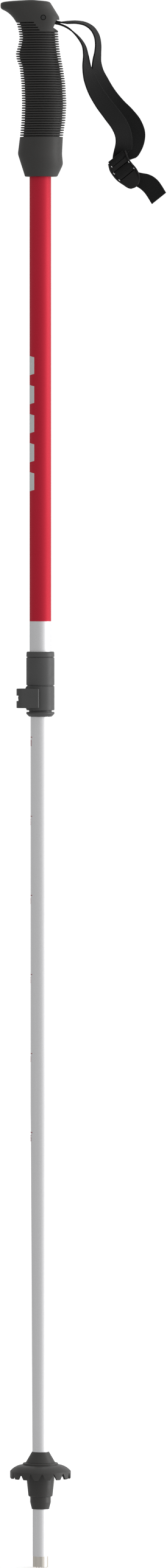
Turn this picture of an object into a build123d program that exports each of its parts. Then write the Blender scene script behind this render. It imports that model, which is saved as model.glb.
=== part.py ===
from build123d import *
import math
import os

# Telescopic ski pole, in millimetres.
# The origin is at the lower end of the steel tip, on the shaft axis. +Z runs up the shaft to the grip,
# +X points to the side that the wrist strap hangs on, and the hook of the grip points to -X.

os.makedirs("parts", exist_ok=True)

# ---------------------------------------------------------------- driving dimensions
# shaft tubes
UPPER_OUTER_R = 6.8
UPPER_BORE_R = 6.2
UPPER_BOTTOM_Z = 545.0
UPPER_TOP_Z = 950.0
UPPER_SLIT_WIDTH = 2.0
UPPER_SLIT_TOP_Z = 572.0
LOWER_OUTER_R = 6.15
LOWER_WALL = 0.8
LOWER_TOP_Z = 660.0
LOWER_TAPER_TOP_Z = 288.0
LOWER_END_R = 4.95
LOWER_END_STRAIGHT_Z = 36.4
LOWER_BOTTOM_Z = 6.9

# lever lock
LOCK_OUTER_R = 8.88
LOCK_RING_TOP_Z = 579.5
LOCK_RING_BOTTOM_Z = 576.2
LOCK_SLEEVE_TOP_Z = 575.8
LOCK_SLEEVE_BOTTOM_Z = 558.3
CLAMP_TOP_Z = 557.7
CLAMP_BOTTOM_Z = 542.5
BUSH_BOTTOM_Z = 538.5
BUSH_NECK_R = 7.2
WEAR_PLATE_THICK = 0.4
WASHER_THICK = 0.5
GROOVE_FLOOR_R = 8.3
CLAMP_GAP = 1.4
FRONT_EAR_FACE_Y = -2.5
BACK_EAR_FACE_Y = 3.2
LEVER_BOTTOM_Z = 544.0
LEVER_TOP_Z = 556.3
LEVER_MID_Z = 0.5 * (LEVER_BOTTOM_Z + LEVER_TOP_Z)
PIVOT_X = -11.2
PIVOT_Y = -7.2
PIVOT_R = 2.4
CAM_R = 3.85
CAM_THROW = 0.4
SCREW_R = 1.25
LEVER_OPEN_ANGLE = 110.0
LEVER_EDGE_R = 0.45

# grip
PIN_X = 1.9
PIN_Z = 979.1
PIN_R = 1.5
CORE_OUTER_R = 7.8
CORE_TOP_Z = 954.0
CORE_BOTTOM_Z = 881.0

# wrist strap
WEB_WIDTH = 11.6
WEB_THICK = 1.0
STRAP_PIVOT_X = 14.0
STRAP_PIVOT_Z = 975.5

RUNNING_GAP = 0.05


# ---------------------------------------------------------------- helpers
def turned(outline):
    """Solid turned about the shaft axis from a closed outline of (radius, height) points."""
    edges = Polyline(*[(radius, 0, height) for radius, height in outline], close=True)
    return revolve(make_face(edges), axis=Axis.Z)


def tube(outer_r, inner_r, bottom, top):
    """Plain tube on the shaft axis."""
    return turned([(inner_r, bottom), (outer_r, bottom), (outer_r, top), (inner_r, top)])


def block(x0, x1, y0, y1, z0, z1):
    """Box between two corners."""
    centre = Pos(0.5 * (x0 + x1), 0.5 * (y0 + y1), 0.5 * (z0 + z1))
    return centre * Box(x1 - x0, y1 - y0, z1 - z0)


def upright_rod(radius, x, y, z0, z1):
    """Cylinder parallel to the shaft."""
    return Pos(x, y, 0.5 * (z0 + z1)) * Cylinder(radius, z1 - z0)


def cross_rod(radius, x, z, y0, y1):
    """Cylinder parallel to Y."""
    return Pos(x, 0.5 * (y0 + y1), z) * Rot(90, 0, 0) * Cylinder(radius, y1 - y0)


def side_plate(points, half_width):
    """Outline of (x, z) points, extruded the same distance to both sides of y = 0."""
    face = make_face(Polyline(*[(x, 0, z) for x, z in points], close=True))
    return extrude(face, half_width, dir=(0, 1, 0), both=True)


def band(stations, width, thick):
    """Flat webbing through stations of (x, y, z, twist) or (x, y, z, twist, heading).

    At twist 0 the webbing's width lies along Y, and at 90 it lies in the XZ plane. There it is square to
    the run, unless a heading states its angle above +X.
    """
    sections = []
    last = len(stations) - 1
    for index, (x, y, z, twist, *heading) in enumerate(stations):
        before = stations[max(index - 1, 0)]
        after = stations[min(index + 1, last)]
        run = Vector(after[0] - before[0], after[1] - before[1], after[2] - before[2]).normalized()
        level = Vector(-run.Z, 0, run.X).normalized()
        if heading:
            slope = math.radians(heading[0])
            level = Vector(math.cos(slope), 0, math.sin(slope))
        angle = math.radians(twist)
        across = Vector(0, 1, 0) * math.cos(angle) + level * math.sin(angle)
        through = run.cross(across).normalized()
        plane = Plane(origin=(x, y, z), x_dir=across, z_dir=across.cross(through))
        sections.append(plane * Rectangle(width, thick))
    return loft(sections, ruled=True)


def keep(name, shape):
    """Write one sub-part."""
    shape.label = name
    export_step(shape, f"parts/{name}.step")


# ---------------------------------------------------------------- grip
# (height, x of the hook side, x of the strap side) of the rubber's outer envelope
GRIP_SECTIONS = [
    (879.2, -9.7, 10.6),
    (881.0, -10.2, 11.6),
    (886.9, -12.1, 14.3),
    (893.5, -14.2, 13.7),
    (903.8, -12.9, 14.2),
    (914.0, -12.0, 15.8),
    (925.0, -11.6, 16.5),
    (938.0, -12.0, 15.8),
    (948.5, -13.2, 14.2),
    (953.0, -15.0, 13.3),
    (957.0, -15.5, 12.5),
    (961.0, -14.2, 12.0),
    (966.0, -13.2, 11.5),
    (976.5, -14.2, 11.4),
]
GRIP_FLATNESS = 0.9

HEAD_OUTLINE = [
    (-13.6, 968.0),
    (-15.1, 976.0),
    (-17.1, 979.2),
    (-20.1, 982.3),
    (-22.7, 983.8),
    (-24.6, 984.6),
    (-25.1, 985.6),
    (-25.1, 987.7),
    (-24.0, 989.2),
    (-20.0, 990.3),
    (2.0, 990.3),
    (6.0, 989.2),
    (11.8, 980.0),
    (12.1, 978.2),
    (11.2, 970.9),
    (11.2, 968.0),
]
NOTCH_OUTLINE = [(13.5, 978.0), (10.4, 978.3), (8.0, 973.0), (11.2, 970.9), (13.5, 970.9)]
CHANNEL_OUTLINE = [(1.9, 982.1), (12.5, 978.3), (12.5, 972.9), (8.2, 973.0), (1.9, 976.1)]
HEAD_NOSE = (-16.1, 9.0)
HEAD_REAR = (0.6, 11.5)


def make_grip_body():
    sections = []
    for height, hook_x, strap_x in GRIP_SECTIONS:
        half = 0.5 * (strap_x - hook_x)
        sections.append(Pos(0.5 * (hook_x + strap_x), 0, height) * Ellipse(half, half * GRIP_FLATNESS))
    handle = loft(sections, ruled=True)

    nose_x, nose_r = HEAD_NOSE
    rear_x, rear_r = HEAD_REAR
    circles = (Pos(nose_x, 0, 0) * Circle(nose_r)).edges() + (Pos(rear_x, 0, 0) * Circle(rear_r)).edges()
    plan = Pos(0, 0, 965) * extrude(make_hull(circles), 30)
    head = plan & side_plate(HEAD_OUTLINE, 15)

    body = handle + head
    body -= Pos(0, 0, 0.5 * (870 + CORE_TOP_Z)) * Cylinder(CORE_OUTER_R, CORE_TOP_Z - 870)
    body -= side_plate(NOTCH_OUTLINE, 15)
    body -= side_plate(CHANNEL_OUTLINE, 0.5 * WEB_WIDTH + 0.5)
    body -= cross_rod(PIN_R + 1.6, PIN_X, PIN_Z, -0.5 * WEB_WIDTH - 0.5, 0.5 * WEB_WIDTH + 0.5)
    body -= cross_rod(PIN_R, PIN_X, PIN_Z, -15, 15)
    return body


def make_grip_core():
    inner = UPPER_OUTER_R
    return turned([
        (inner, CORE_BOTTOM_Z),
        (CORE_OUTER_R, CORE_BOTTOM_Z),
        (CORE_OUTER_R, CORE_TOP_Z),
        (0, CORE_TOP_Z),
        (0, CORE_TOP_Z - 1.5),
        (inner, CORE_TOP_Z - 1.5),
    ])


def make_strap_pin():
    pin = cross_rod(PIN_R, PIN_X, PIN_Z, -11.3, 11.3)
    ends = pin.edges().filter_by(GeomType.CIRCLE)
    return chamfer(ends, 0.25)


# ---------------------------------------------------------------- upper shaft and its plug
def make_upper_shaft():
    shaft = tube(UPPER_OUTER_R, UPPER_BORE_R, UPPER_BOTTOM_Z, UPPER_TOP_Z)
    half = 0.5 * UPPER_SLIT_WIDTH
    return shaft - block(-8, -4, -half, half, UPPER_BOTTOM_Z - 1, UPPER_SLIT_TOP_Z)


def make_shaft_top_plug():
    return turned([
        (0, UPPER_TOP_Z - 12),
        (UPPER_BORE_R - 0.4, UPPER_TOP_Z - 12),
        (UPPER_BORE_R, UPPER_TOP_Z - 10),
        (UPPER_BORE_R, UPPER_TOP_Z),
        (UPPER_OUTER_R, UPPER_TOP_Z),
        (UPPER_OUTER_R, UPPER_TOP_Z + 2),
        (0, UPPER_TOP_Z + 2),
    ])


# ---------------------------------------------------------------- lever lock
def make_lock_top_ring():
    return turned([
        (UPPER_OUTER_R, LOCK_RING_BOTTOM_Z),
        (LOCK_OUTER_R - 0.25, LOCK_RING_BOTTOM_Z),
        (LOCK_OUTER_R, LOCK_RING_BOTTOM_Z + 0.3),
        (LOCK_OUTER_R - 0.1, LOCK_RING_TOP_Z - 0.6),
        (LOCK_OUTER_R - 0.5, LOCK_RING_TOP_Z),
        (UPPER_OUTER_R, LOCK_RING_TOP_Z),
    ])


def make_lock_sleeve():
    edge = 0.25
    return turned([
        (UPPER_OUTER_R, CLAMP_TOP_Z),
        (GROOVE_FLOOR_R, CLAMP_TOP_Z),
        (GROOVE_FLOOR_R, LOCK_SLEEVE_BOTTOM_Z),
        (LOCK_OUTER_R - edge, LOCK_SLEEVE_BOTTOM_Z),
        (LOCK_OUTER_R, LOCK_SLEEVE_BOTTOM_Z + edge),
        (LOCK_OUTER_R, LOCK_SLEEVE_TOP_Z - edge),
        (LOCK_OUTER_R - edge, LOCK_SLEEVE_TOP_Z),
        (GROOVE_FLOOR_R, LOCK_SLEEVE_TOP_Z),
        (GROOVE_FLOOR_R, LOCK_RING_BOTTOM_Z),
        (UPPER_OUTER_R, LOCK_RING_BOTTOM_Z),
    ])


def ear_plate(near_y, far_y):
    """One clamp ear, with its top and bottom edges sloping in from the ring."""
    outline = [
        (-7.4, CLAMP_TOP_Z - 0.2),
        (-8.8, CLAMP_TOP_Z - 0.2),
        (-9.6, LEVER_TOP_Z - 0.2),
        (-13.2, LEVER_TOP_Z - 0.8),
        (-13.9, LEVER_TOP_Z - 1.8),
        (-13.9, LEVER_BOTTOM_Z + 1.8),
        (-13.2, LEVER_BOTTOM_Z + 0.8),
        (-9.6, LEVER_BOTTOM_Z + 0.1),
        (-8.8, CLAMP_BOTTOM_Z + 0.8),
        (-7.4, CLAMP_BOTTOM_Z + 0.8),
    ]
    face = make_face(Polyline(*[(x, near_y, z) for x, z in outline], close=True))
    return extrude(face, far_y - near_y, dir=(0, 1, 0))


def make_lock_clamp_body():
    edge = 0.25
    ring = turned([
        (UPPER_OUTER_R, CLAMP_BOTTOM_Z),
        (LOCK_OUTER_R - edge, CLAMP_BOTTOM_Z),
        (LOCK_OUTER_R, CLAMP_BOTTOM_Z + edge),
        (LOCK_OUTER_R, CLAMP_TOP_Z - edge),
        (LOCK_OUTER_R - edge, CLAMP_TOP_Z),
        (UPPER_OUTER_R, CLAMP_TOP_Z),
    ])
    half_gap = 0.5 * CLAMP_GAP
    body = ring + ear_plate(FRONT_EAR_FACE_Y, -half_gap) + ear_plate(half_gap, BACK_EAR_FACE_Y)
    body -= Pos(0, 0, LEVER_MID_Z) * Cylinder(UPPER_OUTER_R, 30)
    body -= Pos(0, 0, 0.5 * (CLAMP_BOTTOM_Z + UPPER_BOTTOM_Z)) * Cylinder(
        BUSH_NECK_R, UPPER_BOTTOM_Z - CLAMP_BOTTOM_Z)
    body -= block(-15, -5, -half_gap, half_gap, CLAMP_BOTTOM_Z - 1, CLAMP_TOP_Z + 1)
    body -= cross_rod(SCREW_R + 0.15, PIVOT_X, LEVER_MID_Z, -10, 10)
    return body


def make_lock_bush():
    return turned([
        (UPPER_BORE_R, BUSH_BOTTOM_Z),
        (7.17, BUSH_BOTTOM_Z),
        (LOCK_OUTER_R, BUSH_BOTTOM_Z + 1.7),
        (LOCK_OUTER_R, BUSH_BOTTOM_Z + 2.7),
        (LOCK_OUTER_R - 0.2, BUSH_BOTTOM_Z + 2.9),
        (BUSH_NECK_R, BUSH_BOTTOM_Z + 2.9),
        (BUSH_NECK_R, UPPER_BOTTOM_Z),
        (UPPER_BORE_R, UPPER_BOTTOM_Z),
    ])


def make_lock_wear_plate():
    front = FRONT_EAR_FACE_Y - WEAR_PLATE_THICK
    plate = block(-13.7, -8.7, front, FRONT_EAR_FACE_Y, LEVER_BOTTOM_Z + 1.2, LEVER_TOP_Z - 1.2)
    return plate - cross_rod(SCREW_R + 0.15, PIVOT_X, LEVER_MID_Z, -4, 0)


def make_lock_barrel_nut():
    barrel = upright_rod(PIVOT_R, PIVOT_X, PIVOT_Y, LEVER_BOTTOM_Z + 0.3, LEVER_TOP_Z - 0.3)
    barrel = chamfer(barrel.edges().filter_by(GeomType.CIRCLE), 0.3)
    return barrel - cross_rod(SCREW_R + RUNNING_GAP, PIVOT_X, LEVER_MID_Z, -9.2, 0)


def make_lock_screw_washer():
    ring = cross_rod(2.9, PIVOT_X, LEVER_MID_Z, BACK_EAR_FACE_Y, BACK_EAR_FACE_Y + WASHER_THICK)
    return ring - cross_rod(SCREW_R + 0.15, PIVOT_X, LEVER_MID_Z, 0, 8)


def make_lock_tension_screw():
    seat = BACK_EAR_FACE_Y + WASHER_THICK + RUNNING_GAP
    head = cross_rod(2.5, PIVOT_X, LEVER_MID_Z, seat, seat + 2.2)
    head = chamfer(head.edges().filter_by(GeomType.CIRCLE).sort_by(Axis.Y)[-1], 0.3)
    shank = cross_rod(SCREW_R, PIVOT_X, LEVER_MID_Z, -9.0, seat + 0.5)
    socket_plane = Plane(origin=(PIVOT_X, seat + 2.2, LEVER_MID_Z), x_dir=(1, 0, 0), z_dir=(0, -1, 0))
    socket = extrude(socket_plane * RegularPolygon(1.45, 6), 1.5)
    return head + shank - socket


def make_lock_lever():
    cam = Pos(PIVOT_X, PIVOT_Y + CAM_THROW) * Circle(CAM_R)
    tip = Pos(-1.62, -10.25) * Circle(0.85)
    arm = make_hull(cam.edges() + tip.edges()) - Circle(LOCK_OUTER_R + 0.42)
    height = LEVER_TOP_Z - LEVER_BOTTOM_Z
    lever = Pos(0, 0, LEVER_BOTTOM_Z) * extrude(arm, height)
    rims = lever.faces().sort_by(Axis.Z)[0].edges() + lever.faces().sort_by(Axis.Z)[-1].edges()
    lever = fillet(rims, LEVER_EDGE_R)
    lever -= upright_rod(PIVOT_R + RUNNING_GAP, PIVOT_X, PIVOT_Y, LEVER_BOTTOM_Z - 1, LEVER_TOP_Z + 1)
    return lever - screw_slot()


def screw_slot():
    """Room in the cam for the screw over the lever's whole swing."""
    half_height = SCREW_R + 0.45
    half_width = SCREW_R + 0.3
    reach = 8.0
    steps = 8

    def polar(radius, degrees):
        angle = math.radians(degrees)
        return (PIVOT_X + radius * math.cos(angle), PIVOT_Y + radius * math.sin(angle))

    first = 90.0
    last = first + LEVER_OPEN_ANGLE
    swing = math.degrees(math.atan2(half_width, reach))
    corner = math.hypot(half_width, reach)
    points = [polar(half_width, first - 90), polar(corner, first - swing)]
    for step in range(steps + 1):
        points.append(polar(reach, first + (last - first) * step / steps))
    points += [polar(corner, last + swing), polar(half_width, last + 90)]
    sweep = make_face(Polyline(*points, close=True))
    return Pos(0, 0, LEVER_MID_Z - half_height) * extrude(sweep, 2 * half_height)


# ---------------------------------------------------------------- wrist strap
HALF_WEB = 0.5 * WEB_WIDTH
ANCHOR_END_X = 12.2
REAR_ANCHOR_Z = 976.5
FRONT_ANCHOR_Z = 974.6

BUCKLE_SLOPE = 38.8

# (x, y, z, twist, heading) of the strand that leaves the notch on top and hangs behind
REAR_STRAND = [
    (14.2, 0.0, 976.4, 2),
    (17.0, 0.0, 976.4, 4),
    (23.0, 0.2, 976.5, 6),
    (28.4, 0.6, 975.4, 10),
    (32.6, 1.2, 972.7, 14),
    (35.3, 2.0, 968.5, 16),
    (36.4, 3.2, 963.1, 17),
    (36.2, 4.4, 957.7, 19),
    (35.6, 5.6, 952.3, 26),
    (36.0, 6.8, 946.5, 38),
    (38.4, 7.8, 939.6, 52),
    (42.6, 8.6, 931.4, 65),
    (48.0, 9.2, 924.2, 76),
    (53.8, 9.2, 918.2, 82),
    (58.2, 9.0, 912.6, 84),
    (60.4, 8.6, 906.6, 85),
    (59.6, 7.4, 900.8, 86),
    (57.4, 6.0, 896.4, 88),
    (54.6, 4.9, 892.4, 90, -12),
    (51.9, 4.1, 889.2, 90, 12),
    (50.4, 3.0, 887.2, 90, 30),
    (50.66, 1.9, 885.5, 90, BUCKLE_SLOPE),
]
# the strand that leaves the notch below it, hangs in front and is sewn round the buckle's top bar
FRONT_STRAND = [
    (14.2, 0.0, 974.6, 0),
    (17.4, 0.0, 973.2, 0),
    (21.0, -0.2, 970.2, 2),
    (24.6, -0.6, 966.2, 6),
    (27.4, -1.2, 961.6, 9),
    (28.6, -2.0, 956.0, 14),
    (29.2, -3.2, 948.6, 26),
    (31.1, -4.4, 941.2, 42),
    (34.3, -5.4, 933.8, 53),
    (39.2, -6.2, 925.9, 62),
    (45.2, -6.2, 918.0, 68),
    (49.9, -5.0, 911.4, 68),
    (52.2, -2.8, 905.8, 66),
    (52.7, 0.0, 900.6, 66),
    (52.2, 2.2, 896.8, 74, 0),
    (51.0, 2.65, 893.6, 90, 20),
    (50.0, 2.65, 890.0, 90, BUCKLE_SLOPE),
]

# buckle plate: local X across it, local Y down it, local Z behind it
BUCKLE_ORIGIN = (46.7, 0.0, 890.2)
BUCKLE_HALF_THICK = 1.1
BUCKLE_LEFT = [(-5.1, 0.0), (-7.0, 4.0), (-7.4, 8.0), (-7.3, 11.0), (-6.1, 15.5), (-3.9, 20.6)]
BUCKLE_FOOT = (-0.9, 22.1)
BUCKLE_RIGHT = [(3.2, 20.8), (6.2, 17.1), (7.2, 13.0), (7.1, 9.0), (7.3, 5.3), (9.0, 0.0)]
# slots: middle across, first and last edge down the plate
TOP_SLOT = (1.5, 1.9, 3.2)
UPPER_SLOT = (0.0, 6.2, 7.8)
LOWER_SLOT = (0.0, 11.4, 13.0)
SLOT_HALF_WIDTH = 6.0


def buckle_plane():
    """Local X across the buckle, local Y down it, local Z towards +Y."""
    slope = math.radians(BUCKLE_SLOPE)
    return Plane(origin=BUCKLE_ORIGIN, x_dir=(math.cos(slope), 0, math.sin(slope)), z_dir=(0, 1, 0))


def make_strap_anchor_loop():
    inner = PIN_R + 0.1
    outer = inner + WEB_THICK
    turn = cross_rod(outer, PIN_X, PIN_Z, -HALF_WEB, HALF_WEB)
    turn -= block(PIN_X, PIN_X + 5, -7, 7, PIN_Z - 5, PIN_Z + 5)
    half = 0.5 * WEB_THICK
    upper = side_plate([
        (PIN_X, PIN_Z + inner),
        (PIN_X, PIN_Z + outer),
        (ANCHOR_END_X, REAR_ANCHOR_Z + half),
        (ANCHOR_END_X, REAR_ANCHOR_Z - half),
    ], HALF_WEB)
    lower = side_plate([
        (PIN_X, PIN_Z - inner),
        (PIN_X, PIN_Z - outer),
        (ANCHOR_END_X, FRONT_ANCHOR_Z - half),
        (ANCHOR_END_X, FRONT_ANCHOR_Z + half),
    ], HALF_WEB)
    return turn + upper + lower - cross_rod(inner, PIN_X, PIN_Z, -8, 8)


def webbing_block(middle, v0, v1, depth0, depth1):
    """Stretch of webbing in the buckle's own frame: v down the buckle, depth behind it."""
    return buckle_plane() * block(middle - HALF_WEB, middle + HALF_WEB, v0, v1, depth0, depth1)


def make_strap_front_strand():
    strand = band(FRONT_STRAND, WEB_WIDTH, WEB_THICK)
    # sewn eye round the top bar
    middle, first, last = TOP_SLOT
    near = BUCKLE_HALF_THICK + 0.1
    outside = webbing_block(middle, -1.2, last - 0.1, -near - WEB_THICK, near + WEB_THICK)
    inside = webbing_block(middle, -0.1, first + 0.1, -near, near)
    return strand + (outside - inside)


def make_strap_rear_strand():
    return band(REAR_STRAND, WEB_WIDTH, WEB_THICK)


# (across, down, behind) of the tail's middle line, in the buckle's own frame
TAIL_ROUTE = [
    (0.0, 12.3, 1.9),
    (0.3, 14.6, 2.1),
    (2.2, 17.4, 2.6),
    (4.8, 20.4, 3.0),
    (6.6, 24.0, 3.0),
    (7.3, 28.2, 2.6),
    (7.0, 32.5, 2.0),
    (6.4, 36.8, 1.2),
]


def make_strap_tail():
    near = BUCKLE_HALF_THICK + 0.3
    far = near + WEB_THICK
    up0 = UPPER_SLOT[1] + 0.3
    down1 = LOWER_SLOT[2] - 0.3
    up = webbing_block(0, up0, up0 + WEB_THICK, -far, far)
    over = webbing_block(0, up0, down1, -far, -near)
    down = webbing_block(0, down1 - WEB_THICK, down1, -far, far)
    plane = buckle_plane()
    stations = []
    for across, down_by, behind in TAIL_ROUTE:
        point = plane.from_local_coords((across, down_by, behind))
        stations.append((point.X, point.Y, point.Z, 90, BUCKLE_SLOPE))
    return up + over + down + band(stations, WEB_WIDTH, WEB_THICK)


def make_strap_buckle():
    sides = Polyline(*BUCKLE_RIGHT[::-1][:1], *BUCKLE_LEFT[:1])
    left = Spline(*BUCKLE_LEFT, BUCKLE_FOOT)
    right = Spline(BUCKLE_FOOT, *BUCKLE_RIGHT)
    plate = extrude(make_face(sides + left + right), 2 * BUCKLE_HALF_THICK)
    plate = Pos(0, 0, -BUCKLE_HALF_THICK) * plate
    for middle, first, last in (TOP_SLOT, UPPER_SLOT, LOWER_SLOT):
        plate -= block(middle - SLOT_HALF_WIDTH, middle + SLOT_HALF_WIDTH, first, last, -3, 3)
    return buckle_plane() * plate


# ---------------------------------------------------------------- lower section
def shaft_radius(height):
    """Outer radius of the lower tube: cylindrical, then tapering to a cylindrical end."""
    if height >= LOWER_TAPER_TOP_Z:
        return LOWER_OUTER_R
    if height <= LOWER_END_STRAIGHT_Z:
        return LOWER_END_R
    share = (height - LOWER_END_STRAIGHT_Z) / (LOWER_TAPER_TOP_Z - LOWER_END_STRAIGHT_Z)
    return LOWER_END_R + share * (LOWER_OUTER_R - LOWER_END_R)


def make_lower_shaft():
    heights = [LOWER_BOTTOM_Z, LOWER_END_STRAIGHT_Z, LOWER_TAPER_TOP_Z, LOWER_TOP_Z]
    outside = [(shaft_radius(height), height) for height in heights]
    inside = [(shaft_radius(height) - LOWER_WALL, height) for height in reversed(heights)]
    return turned(outside + inside)


def make_lower_guide_plug():
    bore = LOWER_OUTER_R - LOWER_WALL
    return turned([
        (0, LOWER_TOP_Z - 14),
        (bore - 0.4, LOWER_TOP_Z - 14),
        (bore, LOWER_TOP_Z - 12),
        (bore, LOWER_TOP_Z),
        (LOWER_OUTER_R, LOWER_TOP_Z),
        (LOWER_OUTER_R, LOWER_TOP_Z + 4),
        (LOWER_OUTER_R - 0.8, LOWER_TOP_Z + 5),
        (0, LOWER_TOP_Z + 5),
    ])


FERRULE_TOP_Z = 73.1
FERRULE_BOTTOM_Z = 36.9
FERRULE_SLEEVE_R = 6.4
BASKET_TOP_Z = 66.2
BASKET_HUB_BOTTOM_Z = 44.8
BASKET_RIM_R = 19.2
BASKET_VALLEY_Z = 60.0
BASKET_TOOTH_Z = 56.3
BASKET_TEETH = 16
BASKET_FIRST_VALLEY = 3.5
BASKET_WALL = 1.7


def make_basket_ferrule():
    gap = 0.01
    return turned([
        (shaft_radius(FERRULE_BOTTOM_Z) + gap, FERRULE_BOTTOM_Z),
        (5.55, FERRULE_BOTTOM_Z),
        (5.7, FERRULE_BOTTOM_Z + 0.8),
        (6.54, BASKET_HUB_BOTTOM_Z - 3.6),
        (6.54, BASKET_HUB_BOTTOM_Z - 0.05),
        (FERRULE_SLEEVE_R, BASKET_HUB_BOTTOM_Z + 0.4),
        (FERRULE_SLEEVE_R, BASKET_TOP_Z),
        (9.2, BASKET_TOP_Z),
        (9.2, BASKET_TOP_Z + 0.4),
        (5.52, FERRULE_TOP_Z - 0.2),
        (5.35, FERRULE_TOP_Z),
        (shaft_radius(FERRULE_TOP_Z) + gap, FERRULE_TOP_Z),
    ])


def make_snow_basket():
    bore = FERRULE_SLEEVE_R + 0.05
    inner_rim = BASKET_RIM_R - BASKET_WALL
    rim_top = (BASKET_RIM_R, 0, 60.9)
    crown_of_dome = (16.2, 0, 63.45)
    dome_foot = (11.2, 0, 65.0)
    dome = ThreePointArc(rim_top, crown_of_dome, dome_foot)
    rest = Polyline(
        dome_foot,
        (11.2, 0, 65.7),
        (10.8, 0, BASKET_TOP_Z - 0.1),
        (10.4, 0, BASKET_TOP_Z),
        (bore, 0, BASKET_TOP_Z),
        (bore, 0, BASKET_HUB_BOTTOM_Z + 0.5),
        (bore + 0.2, 0, BASKET_HUB_BOTTOM_Z),
        (7.2, 0, BASKET_HUB_BOTTOM_Z),
        (7.67, 0, BASKET_HUB_BOTTOM_Z + 0.5),
        (8.63, 0, 54.6),
        (9.1, 0, 60.0),
        (9.6, 0, 61.8),
        (12.0, 0, 62.2),
        (inner_rim, 0, 59.9),
        (inner_rim, 0, BASKET_TOOTH_Z),
        (BASKET_RIM_R - 0.3, 0, BASKET_TOOTH_Z),
        (BASKET_RIM_R, 0, BASKET_TOOTH_Z + 0.3),
        rim_top,
    )
    basket = revolve(make_face(dome + rest), Axis.Z)
    for index in range(BASKET_TEETH):
        basket -= Rot(0, 0, BASKET_FIRST_VALLEY + index * 360.0 / BASKET_TEETH) * tooth_gap()
    return basket


def tooth_gap():
    """V-shaped gap between two teeth with a blunt top, cut from the front of the rim."""
    foot = BASKET_TOOTH_Z - 1.0
    outline = [
        (-3.0, foot),
        (3.0, foot),
        (0.5, BASKET_VALLEY_Z - 0.2),
        (0.25, BASKET_VALLEY_Z + 0.1),
        (-0.25, BASKET_VALLEY_Z + 0.1),
        (-0.5, BASKET_VALLEY_Z - 0.2),
    ]
    face = make_face(Polyline(*[(x, -BASKET_RIM_R - 1, z) for x, z in outline], close=True))
    return extrude(face, 4.5, dir=(0, 1, 0))


CROWN_R = 4.9
CROWN_NOTCHES = 16


def make_tip_crown():
    spigot = LOWER_END_R - LOWER_WALL
    crown = turned([
        (0, 3.2),
        (3.9, 0.0),
        (CROWN_R - 0.15, 0.0),
        (CROWN_R, 0.2),
        (CROWN_R, LOWER_BOTTOM_Z),
        (spigot, LOWER_BOTTOM_Z),
        (spigot, 22.0),
        (spigot - 0.6, 23.0),
        (0, 23.0),
    ])
    for index in range(CROWN_NOTCHES):
        angle = index * 360.0 / CROWN_NOTCHES
        crown -= Rot(0, 0, angle) * Pos(CROWN_R, 0, 0) * Rot(0, 90, 0) * Cylinder(0.42, 3.0)
    return crown


# ---------------------------------------------------------------- all sub-parts
SUB_PARTS = {
    "grip_body": make_grip_body,
    "grip_core": make_grip_core,
    "strap_pin": make_strap_pin,
    "strap_anchor_loop": make_strap_anchor_loop,
    "upper_shaft": make_upper_shaft,
    "shaft_top_plug": make_shaft_top_plug,
    "lock_top_ring": make_lock_top_ring,
    "lock_sleeve": make_lock_sleeve,
    "lock_clamp_body": make_lock_clamp_body,
    "lock_bush": make_lock_bush,
    "lock_wear_plate": make_lock_wear_plate,
    "lock_barrel_nut": make_lock_barrel_nut,
    "lock_screw_washer": make_lock_screw_washer,
    "lock_tension_screw": make_lock_tension_screw,
    "lock_lever": make_lock_lever,
    "strap_front_strand": make_strap_front_strand,
    "strap_rear_strand": make_strap_rear_strand,
    "strap_tail": make_strap_tail,
    "strap_buckle": make_strap_buckle,
    "lower_shaft": make_lower_shaft,
    "lower_guide_plug": make_lower_guide_plug,
    "basket_ferrule": make_basket_ferrule,
    "snow_basket": make_snow_basket,
    "tip_crown": make_tip_crown,
}

for name, make in SUB_PARTS.items():
    keep(name, make())
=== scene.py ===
"""Looks of the ski pole: rubber grip, webbing strap, buckle, prints, materials and studio."""
import math

import bmesh
import bpy
from mathutils import Matrix, Vector


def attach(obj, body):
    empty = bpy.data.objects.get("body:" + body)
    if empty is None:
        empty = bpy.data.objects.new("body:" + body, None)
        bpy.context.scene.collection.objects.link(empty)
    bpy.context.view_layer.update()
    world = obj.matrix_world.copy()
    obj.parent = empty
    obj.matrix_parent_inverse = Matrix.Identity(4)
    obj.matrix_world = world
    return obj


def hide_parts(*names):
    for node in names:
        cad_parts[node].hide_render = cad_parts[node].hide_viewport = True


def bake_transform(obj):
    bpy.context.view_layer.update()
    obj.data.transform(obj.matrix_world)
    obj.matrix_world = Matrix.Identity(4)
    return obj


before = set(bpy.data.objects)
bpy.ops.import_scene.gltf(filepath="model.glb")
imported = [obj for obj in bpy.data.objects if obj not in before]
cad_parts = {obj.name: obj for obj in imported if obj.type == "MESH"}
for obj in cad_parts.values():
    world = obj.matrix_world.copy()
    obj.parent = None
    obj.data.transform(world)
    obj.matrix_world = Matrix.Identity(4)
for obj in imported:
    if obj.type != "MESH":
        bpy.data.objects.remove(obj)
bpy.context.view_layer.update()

scene = bpy.context.scene
MM = 0.001


# ---------------------------------------------------------------- mesh helpers
def mesh_object(name, points, faces, sharp_angle=40):
    """A smooth-shaded object from points in millimetres, with edges sharper than the angle kept sharp."""
    mesh = bpy.data.meshes.new(name)
    mesh.from_pydata([Vector(p) * MM for p in points], [], faces)
    mesh.validate()
    mesh.shade_smooth()
    mesh.set_sharp_from_angle(angle=math.radians(sharp_angle))
    obj = bpy.data.objects.new(name, mesh)
    scene.collection.objects.link(obj)
    return obj


def skin(name, rings, sharp_angle=40):
    """A closed skin over a stack of rings with the same number of points."""
    count = len(rings[0])
    points = [point for ring in rings for point in ring]
    faces = []
    for row in range(len(rings) - 1):
        low = row * count
        high = low + count
        for i in range(count):
            j = (i + 1) % count
            faces.append((low + i, low + j, high + j, high + i))
    faces.append(tuple(reversed(range(count))))
    faces.append(tuple(range(len(points) - count, len(points))))
    return mesh_object(name, points, faces, sharp_angle)


def prism(name, outline, half_width):
    """A solid with an outline in the XZ plane and its width along Y."""
    near = [(x, -half_width, z) for x, z in outline]
    far = [(x, half_width, z) for x, z in outline]
    return skin(name, [near, far])


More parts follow.
